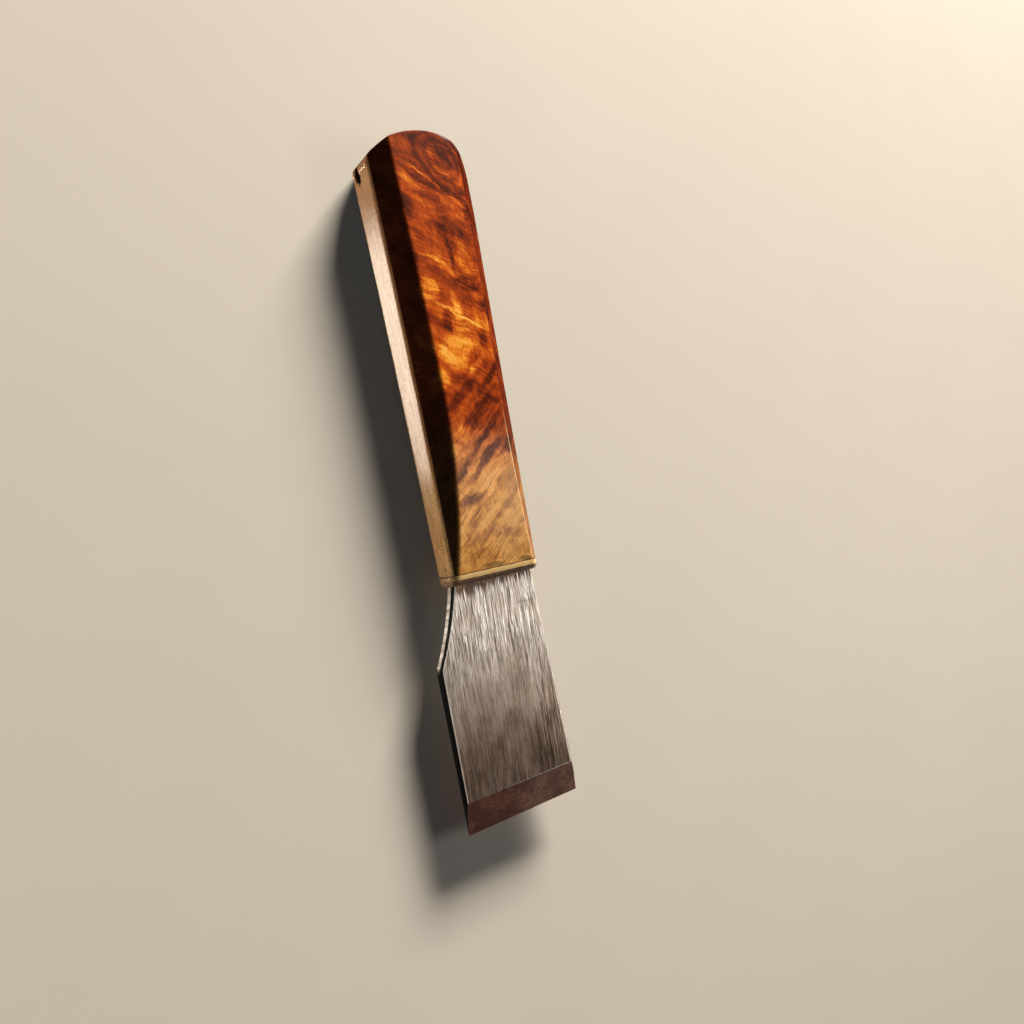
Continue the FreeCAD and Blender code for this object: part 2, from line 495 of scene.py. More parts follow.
def blade_piece():
    """The blade and its tang as one closed skin, with attributes for its side and edges."""
    stations = [plate_x, plate_x + 0.1]
    stations += list(np.linspace(plate_x + 0.8, shoulder_x - 1.2, 30))
    stations += list(np.linspace(shoulder_x - 0.9, shoulder_x + 0.9, 13))
    stations += list(np.linspace(shoulder_x + 2, heel_x - 1, 16))
    stations += [heel_x - 0.12, heel_x, heel_x + 0.12]
    stations += list(np.linspace(heel_x + 0.5, heel_x + 2.2, 8))
    stations += [heel_x + 4, heel_x + 6, edge_x - 0.6, edge_x - 0.15, edge_x - 0.02]
    rings = tang_rings() + [blade_section(x) for x in stations]
    size = len(rings[0])
    points = np.vstack(rings)
    faces = ring_faces(len(rings), size)
    faces.append(tuple(reversed(range(size))))
    last = (len(rings) - 1) * size
    faces.append(tuple(range(last, last + size)))
    faces = [tuple(reversed(f)) for f in faces]
    made = object_from("blade_steel", points, faces)
    made.data.shade_flat()
    face_ends = (side_points, side_points + face_points - 1)
    for name, marked in (("flank", range(side_points)), ("edge_glint", face_ends)):
        values = [float(i % size in marked) for i in range(len(points))]
        made.data.attributes.new(name, "FLOAT", "POINT").data.foreach_set("value", values)
    return made


# ---------------------------------------------------------------- shader helpers

class Paint:
    """Adds and links the nodes of one material."""

    def __init__(self, name):
        self.material = bpy.data.materials.new(name)
        self.material.use_nodes = True
        self.nodes = self.material.node_tree.nodes
        self.links = self.material.node_tree.links
        self.nodes.clear()
        self.output = self.nodes.new("ShaderNodeOutputMaterial")
        coordinates = self.nodes.new("ShaderNodeTexCoord")
        self.place = self.scaled(coordinates.outputs["Object"], (1 / MM,) * 3)

    def node(self, kind, inputs=(), **settings):
        """A new node, with each input linked to a socket or set to a constant."""
        made = self.nodes.new(kind)
        for key, value in settings.items():
            setattr(made, key, value)
        for key, value in dict(inputs).items():
            if isinstance(value, bpy.types.NodeSocket):
                self.links.new(value, made.inputs[key])
            else:
                made.inputs[key].default_value = value
        return made

    def scaled(self, vector, scale):
        return self.node("ShaderNodeMapping", {"Vector": vector, "Scale": scale}).outputs[0]

    def aligned(self, vector, sizes, angle=0.0, centre=(0, 0, 0)):
        """Coordinates in units of a feature's sizes, turned by angle about Z."""
        made = self.node("ShaderNodeMapping", {"Vector": vector, "Scale": sizes,
                         "Rotation": (0, 0, math.radians(angle)), "Location": centre},
                         vector_type="TEXTURE")
        return made.outputs["Vector"]

    def patch(self, vector, centre, sizes, angle=0.0, soft=0.6):
        """1 inside a soft ellipsoid of those half sizes, and 0 outside it."""
        inside = self.aligned(vector, sizes, angle, centre)
        ball = self.node("ShaderNodeTexGradient", {"Vector": inside},
                         gradient_type="SPHERICAL")
        return self.spread(ball.outputs["Fac"], 0.0, soft)

    def patches(self, vector, rows, depth):
        """The strongest of several patches: x, y, half length, half width, angle, strength."""
        total = None
        for x, y, half_length, half_wide, angle, strength in rows:
            centre = (x, y, float(half_height(x)))
            mask = self.patch(vector, centre, (half_length, half_wide, depth), angle)
            mask = self.math("MULTIPLY", mask, strength)
            total = mask if total is None else self.math("MAXIMUM", total, mask)
        return total

    def noise(self, vector, scale=1.0, detail=2.0, roughness=0.5, distortion=0.0):
        made = self.node("ShaderNodeTexNoise", {"Vector": vector, "Scale": scale,
                         "Detail": detail, "Roughness": roughness, "Distortion": distortion})
        return made.outputs["Fac"]

    def noise_colour(self, vector, scale=1.0, detail=2.0):
        made = self.node("ShaderNodeTexNoise", {"Vector": vector, "Scale": scale,
                                                "Detail": detail})
        return made.outputs["Color"]

    def scratches(self, vector, width, length):
        """Long marks along X that fade at both ends: their levels, fades and lines."""
        split = self.node("ShaderNodeSeparateXYZ", {0: vector})
        row = self.math("FLOOR", self.math("DIVIDE", split.outputs["Y"], width))
        line = self.node("ShaderNodeTexWhiteNoise", {"W": row}, noise_dimensions="1D")
        start = self.math("MULTIPLY_ADD", line.outputs["Value"], 7.0,
                          self.math("DIVIDE", split.outputs["X"], length))
        cell = self.node("ShaderNodeCombineXYZ", {0: self.math("FLOOR", start), 1: row})
        mark = self.node("ShaderNodeTexWhiteNoise", {"Vector": cell.outputs[0]},
                         noise_dimensions="2D")
        middle = self.math("ABSOLUTE", self.math("SUBTRACT", self.math("FRACT", start), 0.5))
        fade = self.spread(middle, 0.2, 0.5, 1.0, 0.0)
        return mark.outputs["Value"], fade, line.outputs["Value"]

    def math(self, operation, a, b=0.0, c=0.0):
        return self.node("ShaderNodeMath", {0: a, 1: b, 2: c}, operation=operation).outputs[0]

    def spread(self, value, low, high, to_low=0.0, to_high=1.0):
        """The value eased from one range to another, and held beyond its ends."""
        made = self.node("ShaderNodeMapRange", {"Value": value, "From Min": low,
                         "From Max": high, "To Min": to_low, "To Max": to_high},
                         interpolation_type="SMOOTHSTEP")
        return made.outputs["Result"]

    def ramp(self, value, stops):
        made = self.node("ShaderNodeValToRGB", {"Fac": value})
        elements = made.color_ramp.elements
        while len(elements) < len(stops):
            elements.new(0.5)
        for element, (position, colour) in zip(elements, stops):
            element.position = position
            element.color = (*colour, 1)
        return made.outputs["Color"]

    def between(self, share, a, b):
        """A value that goes from a to b as the share goes from 0 to 1."""
        return self.node("ShaderNodeMix", {0: share, 2: a, 3: b}).outputs[0]

    def mix(self, share, a, b, blend="MIX"):
        """A colour from a to b, or a with b blended over it."""
        made = self.nodes.new("ShaderNodeMix")
        made.data_type = "RGBA"
        made.blend_type = blend
        for index, value in ((0, share), (6, a), (7, b)):
            socket = made.inputs[index]
            if isinstance(value, bpy.types.NodeSocket):
                self.links.new(value, socket)
            elif isinstance(value, tuple):
                socket.default_value = (*value, 1)
            else:
                socket.default_value = value
        return made.outputs[2]

    def warp(self, vector, scale, amount):
        """The vector pushed about by a soft noise, amount in millimetres."""
        colour = self.noise_colour(vector, scale)
        centred = self.node("ShaderNodeVectorMath", {0: colour, 1: (-0.5, -0.5, -0.5)},
                            operation="ADD").outputs[0]
        pushed = self.node("ShaderNodeVectorMath", {0: centred, "Scale": amount},
                           operation="SCALE").outputs[0]
        return self.node("ShaderNodeVectorMath", {0: vector, 1: pushed},
                         operation="ADD").outputs[0]

    def bump(self, height, distance, strength):
        return self.node("ShaderNodeBump", {"Height": height, "Distance": distance * MM,
                                            "Strength": strength}).outputs["Normal"]

    def finish(self, inputs):
        shader = self.node("ShaderNodeBsdfPrincipled", inputs)
        self.links.new(shader.outputs["BSDF"], self.output.inputs["Surface"])
        return self.material


# ---------------------------------------------------------------- materials

# The figure on the upper face: x, y, half length, half width, angle from X, strength
FIGURE_DEPTH = 9.0
DARK_FIGURE = [
    (-90, 6, 9, 3.2, 55, 0.85), (-93, -1, 5, 2.2, 70, 0.6), (-80, 1, 14, 1.7, 62, 0.85),
    (-72, 10.5, 6, 2.4, 15, 0.8), (-67.5, 1.5, 4.5, 1.6, 75, 0.7), (-66, 6, 2.5, 1.5, 10, 0.6),
    (-60, 1.4, 8, 0.9, 4, 0.9), (-52.5, 5, 3.4, 6.5, -8, 0.95), (-45.5, 9.8, 4.4, 2.6, 25, 0.9),
    (-41.5, -4.4, 4.6, 1.9, -15, 0.85), (-36, 6.2, 4.4, 2.2, 5, 0.95),
    (-58, -10, 4.5, 2.2, 20, 0.7), (-74, -9.5, 5, 2.2, 5, 0.6), (-26, 6.8, 8, 1.2, -41, 1.0),
    (-18.5, 6, 3.8, 1.2, 58, 0.85), (-30, 11.5, 5, 1.6, -10, 0.7), (-43, 3.5, 3, 1.6, 60, 0.5)]
BAND_FIGURE = [
    (-21, -3.5, 10, 1.9, -50, 0.85), (-15.5, -1, 13, 1.5, -48, 0.8), (-11, 3, 9, 1.3, -46, 0.8),
    (-3, 0.5, 13, 1.9, -45, 0.95), (0.5, -7.5, 5, 1.5, -42, 0.95), (-7, 9, 6, 2.0, -45, 0.7),
    (8, -6, 2.2, 5.5, 8, 0.75), (10.5, 5.5, 2.0, 4, -20, 0.35), (18.5, 2.5, 2.2, 9, -10, 0.5),
    (23.5, 7, 2, 4.5, -35, 0.45), (25, 1, 1.2, 3.4, 0, 0.4)]
GOLD_FIGURE = [
    (-82.5, -1.5, 11, 0.5, 54, 0.9), (-80.5, -6.5, 6, 1.9, 62, 0.55),
    (-89, 2.4, 3.4, 1.9, 50, 0.4), (-76, 7, 4.5, 0.6, 58, 0.6), (-73, -4.5, 5, 5.5, 80, 0.35),
    (-59.5, 6, 7, 3.8, 12, 0.7), (-59.6, -5, 6, 0.7, 70, 0.7), (-50.5, -8, 4.6, 4, 0, 1.0),
    (-43.2, 0, 12, 0.55, 61, 1.0), (-46, -0.4, 5.2, 2.0, 5, 0.85),
    (-33.5, -3, 9, 6.5, -25, 0.85), (-25, -9.5, 5.5, 3, -50, 0.9),
    (-10, -5.6, 3.6, 3, -40, 0.85), (-6, -9, 3, 2, -40, 0.85), (-29, 3, 5, 1.4, -50, 0.6)]
# The pale patches hold a painted sheen on the right of the upper face towards the plate, with
# paler wood
PALE_AND_SHEEN_FIGURE = [(9, 8.5, 17, 6.5, -8, 0.75), (22, 5, 9, 7, 0, 0.5), (3, 0, 6, 3, -40, 0.4)]
DUST_MARKS = [(27.0, -1.6, 1.3, 4.6, 0, 0.9), (26.8, 9.6, 1.3, 3.4, 0, 0.9)]
# How light the wood is from the butt, 0, to the joint, 1
FIGURE_LEVEL = [
    (0.0, 0.34), (0.12, 0.38), (0.22, 0.50), (0.40, 0.48), (0.50, 0.58), (0.58, 0.46),
    (0.72, 0.46), (0.82, 0.60), (1.0, 0.66)]
# The swirl close to the butt: its middle, and its rings from the rim, 0, to the middle, 1
BURL_EYE = (-88.0, 4.5, 10.0)
EYE_RINGS = [(0.0, 0.5), (0.12, 0.5), (0.24, 0.16), (0.36, 0.62), (0.5, 0.30), (0.64, 0.66),
             (0.8, 0.24), (1.0, 0.5)]


def wood_material():
    """Polished burl: dark bands, golden flashes, fine curl across the grain, small pores."""
    p = Paint("figured_wood")
    place = p.node("ShaderNodeVectorMath", {0: p.place, 1: (0, -axis_y, -axis_z)},
                   operation="ADD").outputs[0]
    soft = p.warp(place, 0.11, 3.0)
    swirl = p.warp(soft, 0.42, 1.5)
    split = p.node("ShaderNodeSeparateXYZ", {0: place})
    along = p.math("DIVIDE", p.math("SUBTRACT", split.outputs["X"], butt_x), joint_x - butt_x)

    rear = p.noise(p.aligned(soft, (9, 0.42, 1.2), 68), 1.0, 2.5, 0.6)
    fore = p.noise(p.aligned(soft, (11, 0.40, 1.2), -49), 1.0, 2.5, 0.6)
    lower = p.spread(along, 0.56, 0.70)
    curl = p.between(lower, rear, fore)

    flow_rear = p.noise(p.aligned(swirl, (15, 4.5, 6), 58), 1.0, 5.0, 0.62)
    flow_fore = p.noise(p.aligned(swirl, (17, 3.6, 6), -48, (4, 9, 0)), 1.0, 5.0, 0.62)
    flow = p.between(lower, flow_rear, flow_fore)
    streaks = p.noise(p.aligned(soft, (5, 0.7, 1.2), 12), 1.0, 4.0, 0.65)
    torn = p.noise(swirl, 0.45, 5.0, 0.65)

    def swing(value, amount):
        return p.math("MULTIPLY", p.math("SUBTRACT", value, 0.5), amount)

    level = p.math("ADD", swing(flow, 1.25), swing(torn, 0.5))
    level = p.math("ADD", level, p.math("ADD", swing(streaks, 0.35), swing(curl, 0.22)))
    lie = p.ramp(along, [(x, (v, v, v)) for x, v in FIGURE_LEVEL])
    level = p.math("ADD", level, lie)
    ball = p.node("ShaderNodeTexGradient", {"Vector": p.aligned(p.warp(soft, 0.2, 3.0),
                  (13, 9, 14), 35, BURL_EYE)}, gradient_type="SPHERICAL").outputs["Fac"]
    rings = p.ramp(ball, [(t, (v, v, v)) for t, v in EYE_RINGS])
    level = p.math("ADD", level, swing(rings, 0.5))
    light = p.math("MULTIPLY", p.patches(swirl, GOLD_FIGURE, FIGURE_DEPTH), 0.34)
    broken = p.spread(p.noise(p.aligned(swirl, (3.2, 1.1, 2), 60), 1.0, 3.0, 0.6), 0.36, 0.60,
                      0.35, 1.0)
    shade = p.math("MULTIPLY", p.patches(swirl, DARK_FIGURE, FIGURE_DEPTH), broken)
    shade = p.math("MULTIPLY", shade, 0.36)
    cross = p.math("MULTIPLY", p.patches(swirl, BAND_FIGURE, FIGURE_DEPTH), 0.30)
    level = p.math("ADD", level, p.math("SUBTRACT", light, p.math("ADD", shade, cross)))
    # The left side, where the section flares as the square of the way from the plate
    rise = p.math("MAXIMUM", p.math("SUBTRACT", plate_x, split.outputs["X"]), 0.0)
    rise = p.math("MULTIPLY", p.math("MULTIPLY", rise, rise), flare)
    side = p.spread(p.math("ADD", p.math("ADD", split.outputs["Y"], half_wide_end), rise),
                    0.25, 0.7, 1.0, 0.0)
    level = p.between(p.math("MULTIPLY", side, 0.65), level, 0.66)
    amber = p.ramp(level, [
        (0.0, (0.055, 0.008, 0.002)), (0.20, (0.120, 0.016, 0.003)),
        (0.36, (0.25, 0.033, 0.004)), (0.52, (0.45, 0.068, 0.006)),
        (0.66, (0.64, 0.135, 0.011)), (0.82, (0.92, 0.33, 0.032)), (1.0, (1.0, 0.56, 0.11))])
    tan = p.ramp(level, [
        (0.0, (0.050, 0.018, 0.009)), (0.25, (0.17, 0.060, 0.026)),
        (0.45, (0.52, 0.210, 0.058)), (0.65, (0.88, 0.440, 0.118)), (1.0, (1.0, 0.66, 0.27))])
    # Pale patches: paler wood and a painted sheen
    pale = p.patches(swirl, PALE_AND_SHEEN_FIGURE, FIGURE_DEPTH)
    colour = p.mix(p.spread(along, 0.64, 0.86), amber, tan)
    colour = p.mix(p.math("MULTIPLY", pale, 0.35), colour, (0.82, 0.50, 0.24))

    # Painted shade, near black, on the left facet, whose edge moves out as the handle thins
    sink = p.math("MAXIMUM", p.math("SUBTRACT", split.outputs["X"], taper_x), 0.0)
    sink = p.math("DIVIDE", p.math("MULTIPLY", sink, sink), 2 * taper_radius)
    left_edge = p.math("MULTIPLY_ADD", along, facet_butt["left"] - facet_end["left"],
                       half_thick - facet_butt["left"])
    reach = p.math("SUBTRACT", p.math("ADD", split.outputs["Y"], sink), left_edge)
    left_facet_shade = p.spread(reach, -0.8, 0.9, 1.0, 0.0)
    left_facet_shade = p.math("MULTIPLY", left_facet_shade, p.math("SUBTRACT", 1.0, side))
    colour = p.mix(p.math("MULTIPLY", left_facet_shade, p.spread(along, 0.55, 0.8, 0.88, 0.97)), colour,
                   (0.014, 0.004, 0.0015))
    grain = p.noise(p.aligned(swirl, (9, 2, 0.55), 0), 1.0, 4.0, 0.6)
    flank = p.mix(p.spread(grain, 0.36, 0.62), (0.44, 0.23, 0.095), (0.70, 0.44, 0.21))
    colour = p.mix(p.math("MULTIPLY", side, 0.75), colour, flank)

    # The right facet in painted shade, and a painted highlight along the line where it meets
    # the upper face
    right_edge = p.math("MULTIPLY_ADD", along, facet_end["right"] - facet_butt["right"],
                        facet_butt["right"] - half_thick)
    past = p.math("SUBTRACT", split.outputs["Y"], p.math("ADD", right_edge, sink))
    right_facet_shade = p.spread(past, -0.1, 0.2)
    colour = p.mix(right_facet_shade, colour, (0.46, 0.36, 0.25), "MULTIPLY")
    glint = p.spread(p.math("ABSOLUTE", past), 0.08, 0.28, 1.0, 0.0)
    glint = p.math("MULTIPLY", glint, p.spread(along, 0.62, 0.76, 0.0, 0.7))
    colour = p.mix(glint, colour, (1.0, 0.80, 0.52))

    lines = p.spread(curl, 0.36, 0.62)
    where = p.spread(p.noise(place, 0.13, 2.0), 0.42, 0.62, 0.08, 0.45)
    curls = p.mix(lines, (0.42, 0.37, 0.32), (1.38, 1.40, 1.40))
    colour = p.mix(where, colour, curls, "MULTIPLY")

    pores = p.noise(p.aligned(soft, (1.3, 0.24, 0.5), 12), 1.0, 1.0)
    pore = p.math("MULTIPLY", p.spread(pores, 0.64, 0.72),
                  p.spread(p.noise(place, 0.2, 1.0), 0.4, 0.6, 0.25, 1.0))
    pore = p.math("MULTIPLY", pore, p.math("SUBTRACT", 1.0, side))
    colour = p.mix(p.math("MULTIPLY", pore, 0.8), colour, (0.035, 0.009, 0.003))

    dust = p.patches(soft, DUST_MARKS, 5.0)
    colour = p.mix(p.math("MULTIPLY", dust, 0.7), colour, (0.07, 0.045, 0.035))
    bark = p.node("ShaderNodeAttribute", attribute_name="bark").outputs["Fac"]
    colour = p.mix(p.spread(bark, 0.15, 0.6), colour, (0.008, 0.005, 0.004))

    ragged = p.math("ADD", split.outputs["X"], p.spread(torn, 0.3, 0.7, -0.1, 0.1))
    joint = p.spread(ragged, joint_x - 0.34, joint_x - 0.12)
    colour = p.mix(p.math("MULTIPLY", joint, 0.9), colour, (0.02, 0.008, 0.004))
    polish = p.math("MAXIMUM", side, p.spread(along, 0.1, 0.6, 0.15, 0.4))
    polish = p.math("MULTIPLY", polish, p.math("SUBTRACT", 1.0, p.math("MAXIMUM", joint, right_facet_shade)))
    rough = p.spread(torn, 0.3, 0.7, 0.46, 0.56)
    height = p.math("SUBTRACT", p.math("MULTIPLY", curl, 0.5), pore)
    return p.finish({"Base Color": colour, "Roughness": rough, "IOR": 1.5,
                     "Normal": p.bump(height, 0.03, 0.4), "Coat Weight": polish,
                     "Coat Roughness": 0.18, "Coat IOR": 1.52,
                     "Specular IOR Level": 0.04})


def steel_material():
    """Steel ground along its length: streaks, brown stains, a strip of painted shade by the
    plate.
    """
    p = Paint("ground_steel")
    split = p.node("ShaderNodeSeparateXYZ", {0: p.place})
    x, y = split.outputs["X"], split.outputs["Y"]
    down = p.spread(x, plate_x, heel_x)
    drift = p.warp(p.place, 0.05, 0.8)
    lean = -2.5
    fine = p.noise(p.aligned(drift, (12, 0.16, 0.16), lean), 1.0, 0.0)
    streak = p.noise(p.aligned(drift, (24, 0.27, 0.27), lean, (3, 7, 0)), 1.0, 0.0)
    nick = p.noise(p.aligned(drift, (4.5, 0.26, 0.26), lean, (5, 1, 0)), 1.0, 1.0)
    broad = p.noise(p.aligned(drift, (30, 2.2, 2.2), lean), 1.0, 3.0, 0.6)
    cloud = p.noise(p.aligned(p.warp(p.place, 0.2, 3.0), (12, 7, 6)), 1.0, 5.0, 0.62)
    smoke = p.noise(p.aligned(p.warp(p.place, 0.15, 4.0), (15, 9, 6), 0, (9, 2, 0)), 1.0, 4.0,
                    0.6)
    turned = p.aligned(drift, (1, 1, 1), lean)
    level, fade, line = p.scratches(turned, 0.26, 16.0)
    level_short, fade_short, _ = p.scratches(p.aligned(turned, (1, 1, 1), 0.6, (3, 0.1, 0)),
                                             0.20, 5.0)
    grain = p.math("ADD", p.spread(fine, 0.42, 0.60, 0.0, 0.40),
                   p.spread(streak, 0.43, 0.59, 0.1, 0.55))

    bite = p.math("ADD", p.math("MULTIPLY", p.spread(broad, 0.40, 0.60), 0.4),
                  p.spread(down, 0.2, 0.75, 0.6, 0.0))
    middle = p.mix(p.spread(broad, 0.35, 0.65), (0.64, 0.59, 0.55), (0.84, 0.79, 0.75))
    lines = p.mix(grain, (0.19, 0.155, 0.125), (1.0, 0.97, 0.94))
    colour = p.mix(bite, middle, lines)
    where = p.spread(p.noise(p.place, 0.09, 2.0), 0.45, 0.60, 0.0, 0.8)
    colour = p.mix(p.math("MULTIPLY", p.spread(nick, 0.60, 0.68), where), colour,
                   (0.13, 0.075, 0.045))
    colour = p.mix(p.math("MULTIPLY", p.spread(nick, 0.40, 0.32), 0.5), colour,
                   (1.0, 0.98, 0.95))
    colour = p.mix(p.math("MULTIPLY", p.spread(cloud, 0.46, 0.66), 0.5), colour,
                   (0.40, 0.285, 0.205))
    colour = p.mix(p.math("MULTIPLY", p.spread(smoke, 0.44, 0.64), p.spread(down, 0.25, 0.75,
                   0.1, 0.75)), colour, (0.25, 0.20, 0.165))
    clear = p.math("MAXIMUM", p.spread(down, 0.15, 0.5, 0.9, 0.3),
                   p.spread(y, axis_y + 1, axis_y + 7, 0.3, 0.9))
    # Single scratches, long and short: the strongest are pale and the weakest dark
    for strength, ends, shine in ((level, fade, 0.95), (level_short, fade_short, 0.75)):
        ends = p.math("MULTIPLY", ends, clear)
        pale = p.math("MULTIPLY", p.spread(strength, 0.76, 0.90, 0.0, shine), ends)
        colour = p.mix(pale, colour, (1.0, 0.98, 0.96))
        deep = p.math("MULTIPLY", p.spread(strength, 0.24, 0.10, 0.0, shine), ends)
        colour = p.mix(deep, colour, (0.10, 0.072, 0.052))
    # Painted shade: the face darker and browner towards the heel
    colour = p.mix(p.spread(x, plate_x + 9, heel_x - 4), colour, (0.66, 0.53, 0.45), "MULTIPLY")

    # Painted shade along the plate, with its border drawn out along the grinding
    teeth = p.math("ADD", p.math("MULTIPLY", line, 0.5), p.math("MULTIPLY", fine, 0.5))
    sweep = p.spread(y, axis_y - 10, axis_y + 8, 0.8, -0.5)
    reach = p.math("ADD", p.math("SUBTRACT", x, sweep), p.spread(teeth, 0.2, 0.8, -1.1, 1.1))
    plate_shade_mask = p.spread(reach, plate_x + 0.8, plate_x + 2.6, 1.0, 0.0)
    plate_shade = p.mix(p.spread(cloud, 0.36, 0.60), (0.035, 0.018, 0.011), (0.17, 0.085, 0.05))
    colour = p.mix(p.math("MULTIPLY", plate_shade_mask, 0.92), colour, plate_shade)

    # The bevel: satin, warmer as a painted reflection, painted shade to the left, a painted
    # highlight at the heel
    on_bevel = p.spread(x, heel_x - 0.05, heel_x + 0.05)
    mottle = p.noise(p.aligned(p.place, (0.45, 0.45, 0.45)), 1.0, 4.0, 0.75)
    tone = p.noise(p.aligned(p.place, (6, 8, 6)), 1.0, 2.0)
    bevel = p.mix(p.spread(mottle, 0.35, 0.65), (0.34, 0.185, 0.15), (0.86, 0.50, 0.40))
    bevel = p.mix(p.spread(tone, 0.38, 0.60, 0.0, 0.6), bevel, (0.26, 0.14, 0.12))
    bevel = p.mix(p.spread(y, axis_y - 12, axis_y + 2, 0.9, 0.0), bevel, (0.70, 0.55, 0.52),
                  "MULTIPLY")
    colour = p.mix(on_bevel, colour, bevel)
    # Painted highlight along the heel line
    heel = p.spread(p.math("ABSOLUTE", p.math("SUBTRACT", x, heel_x)), 0.06, 0.16, 1.0, 0.0)
    colour = p.mix(p.math("MULTIPLY", heel, p.spread(y, axis_y - 16, axis_y + 12)), colour,
                   (1.0, 0.93, 0.86))

    scribe = p.math("ABSOLUTE", p.math("SUBTRACT", x, scribe_x))
    scribe = p.math("MULTIPLY", p.spread(scribe, 0.05, 0.16, 1.0, 0.0),
                    p.spread(y, axis_y + 2, axis_y + 6))
    colour = p.mix(p.math("MULTIPLY", scribe, 0.5), colour, (0.12, 0.11, 0.10))

    # Painted shade on the left side and its chamfer, darker from the shoulder to the edge, near
    # black on the chamfer
    flank = p.node("ShaderNodeAttribute", attribute_name="flank").outputs["Fac"]
    chamfer = p.spread(flank, 0.02, 0.25)
    past = p.spread(x, shoulder_x - 1, shoulder_x + 1.5)
    side_shade = p.math("MULTIPLY", chamfer, p.math("MULTIPLY_ADD", past, 0.35, 0.6))
    colour = p.mix(side_shade, colour, p.mix(past, (0.26, 0.245, 0.235), (0.05, 0.045, 0.042)))
    slope = p.math("MULTIPLY", chamfer, p.spread(flank, 0.90, 0.99, 0.92, 0.0))
    colour = p.mix(slope, colour, (0.035, 0.032, 0.030))
    # A painted highlight along the long edges of the upper face, where they face up
    edge_glint = p.node("ShaderNodeAttribute", attribute_name="edge_glint").outputs["Fac"]
    up = p.node("ShaderNodeSeparateXYZ", {0: p.node("ShaderNodeNewGeometry").outputs["Normal"]})
    edge_glint = p.math("MULTIPLY", edge_glint, p.spread(up.outputs["Z"], 0.8, 0.95))
    edge_glint = p.math("MULTIPLY", p.spread(edge_glint, 0.0, 0.4),
                 p.math("SUBTRACT", 1.0, p.math("MAXIMUM", chamfer, on_bevel)))
    edge_glint = p.math("MULTIPLY", edge_glint, p.spread(y, axis_y - 6, axis_y + 6, 0.55, 1.0))
    colour = p.mix(edge_glint, colour, (1.0, 0.99, 0.97))
    rough = p.math("ADD", p.spread(streak, 0.3, 0.7, 0.27, 0.36),
                   p.math("MULTIPLY", on_bevel, 0.14))
    rough = p.math("MULTIPLY_ADD", flank, 0.12, rough)
    ground = p.math("MULTIPLY", grain, p.math("SUBTRACT", 1.0, p.math("MAXIMUM", on_bevel,
                                                                      chamfer)))
    ground = p.math("MULTIPLY", ground, p.spread(down, 0.3, 0.8, 1.0, 0.5))
    satin = p.math("MULTIPLY", p.math("MULTIPLY", mottle, 0.5), on_bevel)
    metal = p.math("MULTIPLY_ADD", edge_glint, -0.8, 1.0)
    return p.finish({"Base Color": colour, "Metallic": metal, "Roughness": rough,
                     "Normal": p.bump(p.math("ADD", ground, satin), 0.06, 0.6)})


def brass_material():
    """Brass with a rubbed bright land, and a browner, duller side towards the blade in painted
    shade.
    """
    p = Paint("satin_brass")
    split = p.node("ShaderNodeSeparateXYZ", {0: p.place})
    x, y = split.outputs["X"], split.outputs["Y"]
    scratch = p.noise(p.aligned(p.place, (0.25, 3.5, 3.5)), 1.0, 3.0, 0.7)
    stain = p.noise(p.aligned(p.place, (2.5, 3.5, 2.5)), 1.0, 4.0, 0.65)
    ragged = p.math("ADD", x, p.spread(stain, 0.3, 0.7, -0.12, 0.12))
    under = p.spread(ragged, land_x - 0.1, land_x + 0.25)
    colour = p.mix(p.spread(stain, 0.38, 0.66), (1.0, 0.74, 0.34), (0.98, 0.62, 0.24))
    # Darker and mottled towards the left side
    left_darkening = p.spread(y, axis_y - half_wide_end + 0.6, axis_y - half_wide_end + 3, 1.0, 0.0)
    patina = p.noise(p.aligned(p.place, (0.9, 1.2, 1.2)), 1.0, 4.0, 0.7)
    colour = p.mix(p.math("MULTIPLY", left_darkening, p.spread(patina, 0.40, 0.56, 0.2, 0.9)), colour,
                   (0.30, 0.16, 0.08))
    # Painted shade on the rounded side towards the blade, browner and duller
    painted_shade_brass = p.mix(p.spread(patina, 0.38, 0.60), (0.24, 0.14, 0.085), (0.46, 0.28, 0.17))
    colour = p.mix(under, colour, painted_shade_brass)
    edge = p.spread(ragged, joint_x + 0.02, joint_x + 0.2, 1.0, 0.0)
    colour = p.mix(p.math("MULTIPLY", edge, 0.8), colour, (0.12, 0.06, 0.03))
    rough = p.math("ADD", p.spread(scratch, 0.3, 0.7, 0.36, 0.46),
                   p.math("MULTIPLY", under, 0.12))
    return p.finish({"Base Color": colour, "Metallic": 0.25, "Roughness": rough,
                     "Normal": p.bump(scratch, 0.012, 0.5)})


def epoxy_material():
    """Clear amber glue with a faint cloud."""
    p = Paint("amber_epoxy")
    cloud = p.noise(p.scaled(p.place, (0.3, 0.3, 0.3)), 1.0, 2.0)
    colour = p.mix(p.spread(cloud, 0.3, 0.7), (0.42, 0.25, 0.09), (0.6, 0.4, 0.18))
    return p.finish({"Base Color": colour, "Roughness": p.spread(cloud, 0.3, 0.7, 0.15, 0.3),
                     "Normal": p.bump(cloud, 0.05, 0.3)})


def floor_material():
    """A matt pale table top."""
    p = Paint("pale_floor")
    grain = p.noise(p.scaled(p.place, (0.02, 0.02, 0.02)), 1.0, 3.0)
    colour = p.mix(grain, (0.66, 0.65, 0.63), (0.70, 0.69, 0.67))
    return p.finish({"Base Color": colour, "Roughness": 0.8})


# ---------------------------------------------------------------- stage

